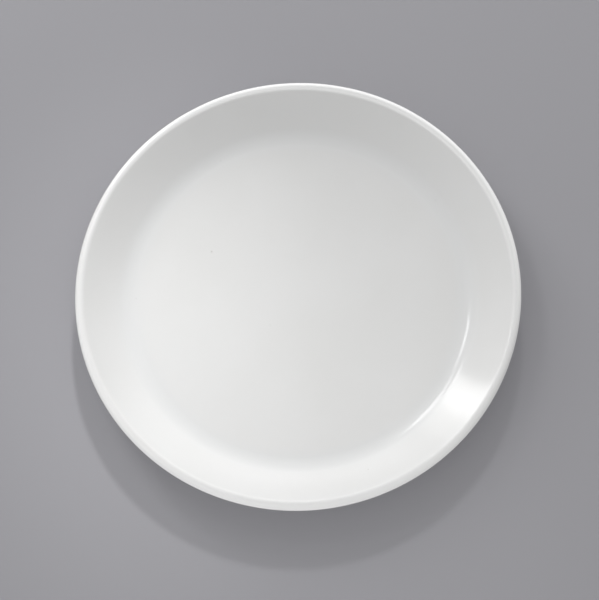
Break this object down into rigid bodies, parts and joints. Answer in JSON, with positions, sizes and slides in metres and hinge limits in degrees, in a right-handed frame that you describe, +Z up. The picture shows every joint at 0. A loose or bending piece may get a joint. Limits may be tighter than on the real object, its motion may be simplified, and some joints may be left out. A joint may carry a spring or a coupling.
{
  "type": "coupe dinner plate",
  "caption": "Round white porcelain coupe plate with a flat well, a wall that sweeps up to a full-round lip, and a bare foot ring under a glossy glaze; it holds a served meal and stacks.",
  "frame": {"origin": "on the table, under the middle of the plate", "axes": "+Z up along the plate's axis, X and Y level"},
  "size_m": [0.267, 0.267, 0.027],
  "materials": {
    "bare_porcelain": "unglazed and vitrified, matt, ground flat on the foot",
    "white_glaze": "clear glossy glaze over white porcelain"
  },
  "bodies": {
    "root": {"porcelain_body": "bare_porcelain", "outer_glaze": "white_glaze", "foot_recess_glaze": "white_glaze"}
  },
  "joints": []
}
